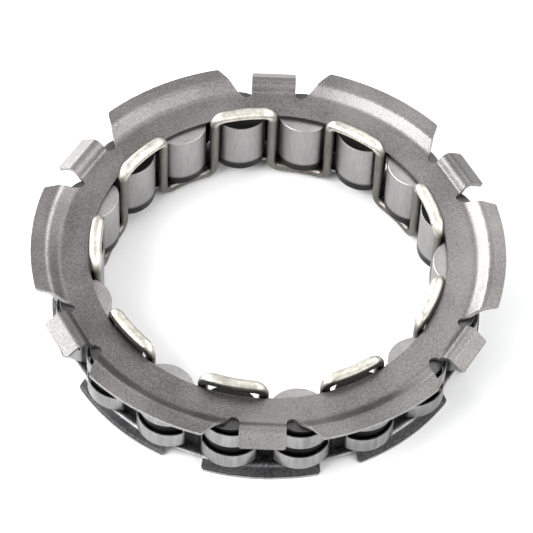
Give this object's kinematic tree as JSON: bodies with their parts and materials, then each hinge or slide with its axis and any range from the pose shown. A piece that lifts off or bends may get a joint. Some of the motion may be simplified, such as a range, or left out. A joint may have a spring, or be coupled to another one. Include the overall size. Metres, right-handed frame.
{
  "type": "starter clutch bearing",
  "caption": "Ring-shaped one-way starter clutch: lobed sheet plates, a serpentine wire and a ribbon spring hold rocking sprags between an inner and an outer race.",
  "frame": {"origin": "on the ring axis, at the middle of the cage width", "axes": "+Z along the ring axis towards the plate with the wide flange lobes, +X through the middle of one of those lobes"},
  "size_m": [0.08, 0.0798, 0.0165],
  "materials": {
    "plate_steel": "satin",
    "lower_plate_steel": "satin",
    "spring_steel": "bright rolled",
    "wire_steel": "drawn, warm tint",
    "sprag_steel": "ground and polished"
  },
  "bodies": {
    "cage": {"upper_cage_plate": "plate_steel", "lower_cage_plate": "lower_plate_steel", "ribbon_spring": "spring_steel", "retainer_wire": "wire_steel"},
    "sprag_01": {"sprag_01": "sprag_steel"},
    "sprag_02": {"sprag_02": "sprag_steel"},
    "sprag_03": {"sprag_03": "sprag_steel"},
    "sprag_04": {"sprag_04": "sprag_steel"},
    "sprag_05": {"sprag_05": "sprag_steel"},
    "sprag_06": {"sprag_06": "sprag_steel"},
    "sprag_07": {"sprag_07": "sprag_steel"},
    "sprag_08": {"sprag_08": "sprag_steel"},
    "sprag_09": {"sprag_09": "sprag_steel"},
    "sprag_10": {"sprag_10": "sprag_steel"},
    "sprag_11": {"sprag_11": "sprag_steel"},
    "sprag_12": {"sprag_12": "sprag_steel"},
    "sprag_13": {"sprag_13": "sprag_steel"},
    "sprag_14": {"sprag_14": "sprag_steel"},
    "sprag_15": {"sprag_15": "sprag_steel"},
    "sprag_16": {"sprag_16": "sprag_steel"},
    "sprag_17": {"sprag_17": "sprag_steel"},
    "sprag_18": {"sprag_18": "sprag_steel"}
  },
  "joints": [
    {"name": "sprag_01_rock", "type": "hinge", "parent": "cage", "child": "sprag_01", "pos_m": [0.033, 0, 0], "axis": [0, 0, 1], "range_deg": [-8, 6], "stiffness_Nm_per_rad": 0.002},
    {"name": "sprag_02_rock", "type": "hinge", "parent": "cage", "child": "sprag_02", "pos_m": [0.03101, 0.01129, 0], "axis": [0, 0, 1], "range_deg": [-8, 6], "stiffness_Nm_per_rad": 0.002},
    {"name": "sprag_03_rock", "type": "hinge", "parent": "cage", "child": "sprag_03", "pos_m": [0.02528, 0.02121, 0], "axis": [0, 0, 1], "range_deg": [-8, 6], "stiffness_Nm_per_rad": 0.002},
    {"name": "sprag_04_rock", "type": "hinge", "parent": "cage", "child": "sprag_04", "pos_m": [0.0165, 0.02858, 0], "axis": [0, 0, 1], "range_deg": [-8, 6], "stiffness_Nm_per_rad": 0.002},
    {"name": "sprag_05_rock", "type": "hinge", "parent": "cage", "child": "sprag_05", "pos_m": [0.00573, 0.0325, 0], "axis": [0, 0, 1], "range_deg": [-8, 6], "stiffness_Nm_per_rad": 0.002},
    {"name": "sprag_06_rock", "type": "hinge", "parent": "cage", "child": "sprag_06", "pos_m": [-0.00573, 0.0325, 0], "axis": [0, 0, 1], "range_deg": [-8, 6], "stiffness_Nm_per_rad": 0.002},
    {"name": "sprag_07_rock", "type": "hinge", "parent": "cage", "child": "sprag_07", "pos_m": [-0.0165, 0.02858, 0], "axis": [0, 0, 1], "range_deg": [-8, 6], "stiffness_Nm_per_rad": 0.002},
    {"name": "sprag_08_rock", "type": "hinge", "parent": "cage", "child": "sprag_08", "pos_m": [-0.02528, 0.02121, 0], "axis": [0, 0, 1], "range_deg": [-8, 6], "stiffness_Nm_per_rad": 0.002},
    {"name": "sprag_09_rock", "type": "hinge", "parent": "cage", "child": "sprag_09", "pos_m": [-0.03101, 0.01129, 0], "axis": [0, 0, 1], "range_deg": [-8, 6], "stiffness_Nm_per_rad": 0.002},
    {"name": "sprag_10_rock", "type": "hinge", "parent": "cage", "child": "sprag_10", "pos_m": [-0.033, 0, 0], "axis": [0, 0, 1], "range_deg": [-8, 6], "stiffness_Nm_per_rad": 0.002},
    {"name": "sprag_11_rock", "type": "hinge", "parent": "cage", "child": "sprag_11", "pos_m": [-0.03101, -0.01129, 0], "axis": [0, 0, 1], "range_deg": [-8, 6], "stiffness_Nm_per_rad": 0.002},
    {"name": "sprag_12_rock", "type": "hinge", "parent": "cage", "child": "sprag_12", "pos_m": [-0.02528, -0.02121, 0], "axis": [0, 0, 1], "range_deg": [-8, 6], "stiffness_Nm_per_rad": 0.002},
    {"name": "sprag_13_rock", "type": "hinge", "parent": "cage", "child": "sprag_13", "pos_m": [-0.0165, -0.02858, 0], "axis": [0, 0, 1], "range_deg": [-8, 6], "stiffness_Nm_per_rad": 0.002},
    {"name": "sprag_14_rock", "type": "hinge", "parent": "cage", "child": "sprag_14", "pos_m": [-0.00573, -0.0325, 0], "axis": [0, 0, 1], "range_deg": [-8, 6], "stiffness_Nm_per_rad": 0.002},
    {"name": "sprag_15_rock", "type": "hinge", "parent": "cage", "child": "sprag_15", "pos_m": [0.00573, -0.0325, 0], "axis": [0, 0, 1], "range_deg": [-8, 6], "stiffness_Nm_per_rad": 0.002},
    {"name": "sprag_16_rock", "type": "hinge", "parent": "cage", "child": "sprag_16", "pos_m": [0.0165, -0.02858, 0], "axis": [0, 0, 1], "range_deg": [-8, 6], "stiffness_Nm_per_rad": 0.002},
    {"name": "sprag_17_rock", "type": "hinge", "parent": "cage", "child": "sprag_17", "pos_m": [0.02528, -0.02121, 0], "axis": [0, 0, 1], "range_deg": [-8, 6], "stiffness_Nm_per_rad": 0.002},
    {"name": "sprag_18_rock", "type": "hinge", "parent": "cage", "child": "sprag_18", "pos_m": [0.03101, -0.01129, 0], "axis": [0, 0, 1], "range_deg": [-8, 6], "stiffness_Nm_per_rad": 0.002}
  ],
  "couplings": [
    {"joint": "sprag_02_rock", "follows": "sprag_01_rock", "ratio": 1},
    {"joint": "sprag_03_rock", "follows": "sprag_01_rock", "ratio": 1},
    {"joint": "sprag_04_rock", "follows": "sprag_01_rock", "ratio": 1},
    {"joint": "sprag_05_rock", "follows": "sprag_01_rock", "ratio": 1},
    {"joint": "sprag_06_rock", "follows": "sprag_01_rock", "ratio": 1},
    {"joint": "sprag_07_rock", "follows": "sprag_01_rock", "ratio": 1},
    {"joint": "sprag_08_rock", "follows": "sprag_01_rock", "ratio": 1},
    {"joint": "sprag_09_rock", "follows": "sprag_01_rock", "ratio": 1},
    {"joint": "sprag_10_rock", "follows": "sprag_01_rock", "ratio": 1},
    {"joint": "sprag_11_rock", "follows": "sprag_01_rock", "ratio": 1},
    {"joint": "sprag_12_rock", "follows": "sprag_01_rock", "ratio": 1},
    {"joint": "sprag_13_rock", "follows": "sprag_01_rock", "ratio": 1},
    {"joint": "sprag_14_rock", "follows": "sprag_01_rock", "ratio": 1},
    {"joint": "sprag_15_rock", "follows": "sprag_01_rock", "ratio": 1},
    {"joint": "sprag_16_rock", "follows": "sprag_01_rock", "ratio": 1},
    {"joint": "sprag_17_rock", "follows": "sprag_01_rock", "ratio": 1},
    {"joint": "sprag_18_rock", "follows": "sprag_01_rock", "ratio": 1}
  ]
}
